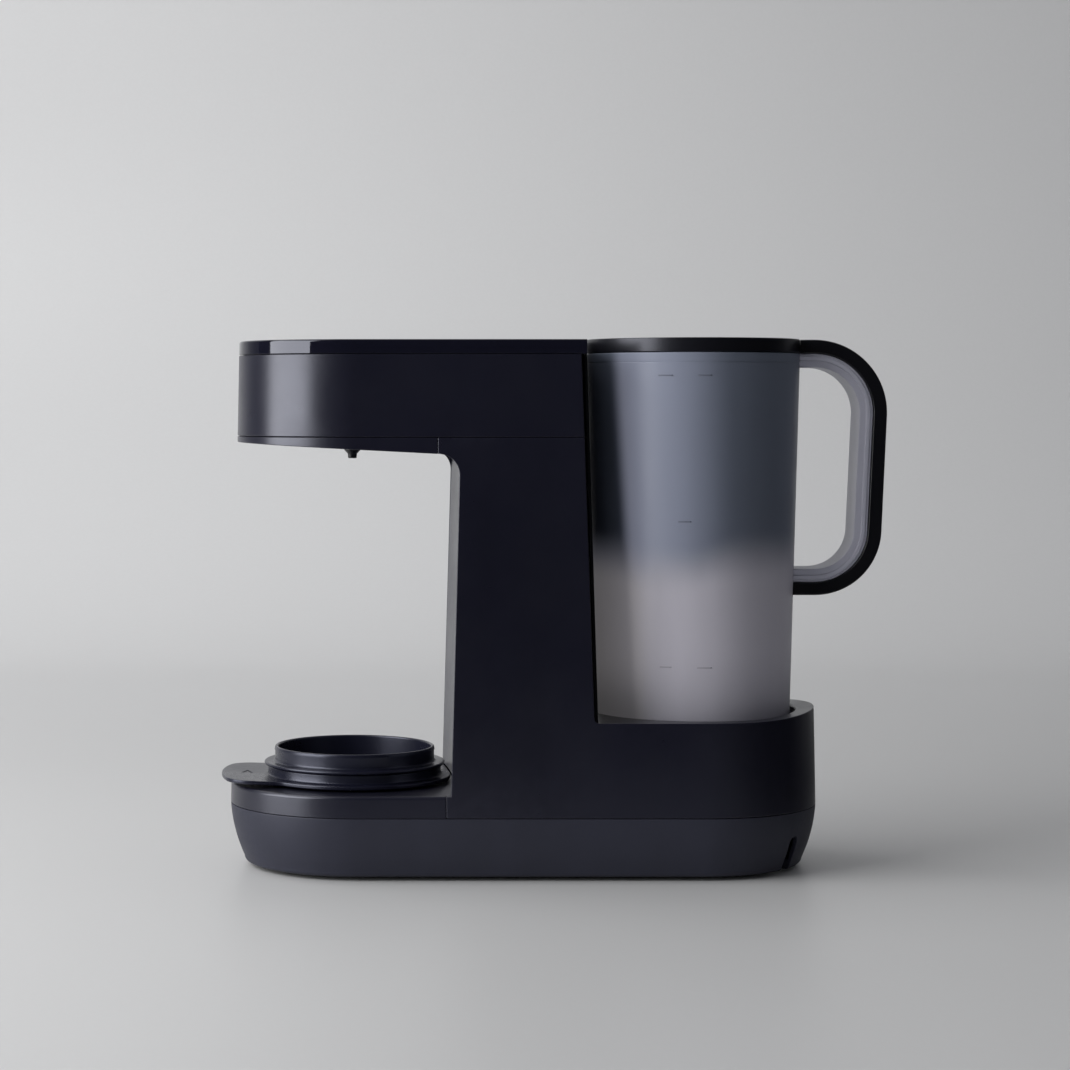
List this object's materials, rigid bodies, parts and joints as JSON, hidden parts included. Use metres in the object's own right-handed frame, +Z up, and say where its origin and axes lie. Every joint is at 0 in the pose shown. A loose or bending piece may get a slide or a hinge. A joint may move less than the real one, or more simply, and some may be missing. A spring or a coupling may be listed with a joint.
{
  "type": "baby formula water dispenser",
  "caption": "C-shaped countertop water dispenser for baby bottles, with a bottle bay, stacked stands, a nozzle head and a lift-off lidded water jug with a loop handle.",
  "frame": {"origin": "centre of the bounding box, on the table top", "axes": "+X from the bottle bay towards the jug's handle, +Y towards the side away from the cord's way out, +Z up"},
  "size_m": [0.3301, 0.1226, 0.2612],
  "materials": {
    "body_navy": "fine satin, near-black navy",
    "base_navy": "matt navy, a little lighter than the body",
    "cover_black": "polished black",
    "black_plastic": "satin black",
    "handle_black": "satin black",
    "jug_frosted": "smoky translucent",
    "white_plastic": "smooth white",
    "rubber_black": "matt",
    "silicone_clear": "milky",
    "silicone_red": "matt red-brown",
    "steel": "plated",
    "spring_steel": "drawn wire",
    "heater_steel": "drawn tube with a printed track",
    "brass": "bare",
    "circuit_board": "green solder mask with black parts",
    "frame_plastic": "grey moulding",
    "wire": "sleeved cable"
  },
  "bodies": {
    "base": {"lower_shell": "base_navy", "bottom_plate": "black_plastic", "rubber_feet": "rubber_black", "base_screws": "steel", "cord_gland": "black_plastic", "front_deck_cover": "body_navy", "body_shell": "body_navy", "column_front_panel": "body_navy", "column_rear_panel": "black_plastic", "head_shell": "body_navy", "head_underside": "body_navy", "top_cover": "cover_black", "control_board": "circuit_board", "cover_screws": "steel", "nozzle": "black_plastic", "nozzle_holder": "black_plastic", "outlet_hose": "silicone_clear", "heater_tube": "heater_steel", "heater_caps": "white_plastic", "heater_clips": "black_plastic", "thermal_cutout": "brass", "temperature_probe": "steel", "feed_hose": "silicone_clear", "heater_hose": "silicone_clear", "suction_hose": "silicone_clear", "pump_housing": "black_plastic", "pump_cover": "black_plastic", "pump_motor": "steel", "pump_mount": "rubber_black", "flow_meter": "white_plastic", "dock_socket": "black_plastic", "dock_seal": "silicone_red", "well_liner": "body_navy", "power_board": "circuit_board", "main_board": "circuit_board", "column_frame": "frame_plastic", "frame_screws": "steel", "wire_harness": "wire"},
    "jug": {"jug": "jug_frosted", "handle_grip": "handle_black", "valve_cage": "black_plastic"},
    "lid": {"jug_lid": "black_plastic", "lid_seal": "silicone_clear"},
    "valve": {"valve_stem": "white_plastic", "valve_seal": "silicone_red", "valve_spring": "spring_steel"},
    "lower_stand": {"lower_stand": "black_plastic"},
    "upper_stand": {"upper_stand": "black_plastic"},
    "impeller": {"pump_impeller": "white_plastic"},
    "turbine": {"flow_turbine": "white_plastic"}
  },
  "joints": [
    {"name": "jug_lift", "type": "slide", "parent": "base", "child": "jug", "axis": [0, 0, 1], "range_m": [0, 0.2]},
    {"name": "lid_lift", "type": "slide", "parent": "jug", "child": "lid", "axis": [0, 0, 1], "range_m": [0, 0.06]},
    {"name": "valve_drop", "type": "slide", "parent": "jug", "child": "valve", "axis": [0, 0, 1], "range_m": [-0.0029, 0], "deforming": ["valve_spring"]},
    {"name": "stand_lift", "type": "slide", "parent": "base", "child": "lower_stand", "axis": [0, 0, 1], "range_m": [0, 0.06]},
    {"name": "cup_lift", "type": "slide", "parent": "lower_stand", "child": "upper_stand", "axis": [0, 0, 1], "range_m": [0, 0.05]},
    {"name": "impeller_spin", "type": "hinge", "parent": "base", "child": "impeller", "pos_m": [0.055, 0.024, 0.024], "axis": [1, 0, 0], "continuous": true},
    {"name": "turbine_spin", "type": "hinge", "parent": "base", "child": "turbine", "pos_m": [-0.004, 0, 0.067], "axis": [0, 0, 1], "continuous": true}
  ],
  "couplings": [
    {"joint": "valve_drop", "follows": "jug_lift", "ratio": -0.0145}
  ]
}
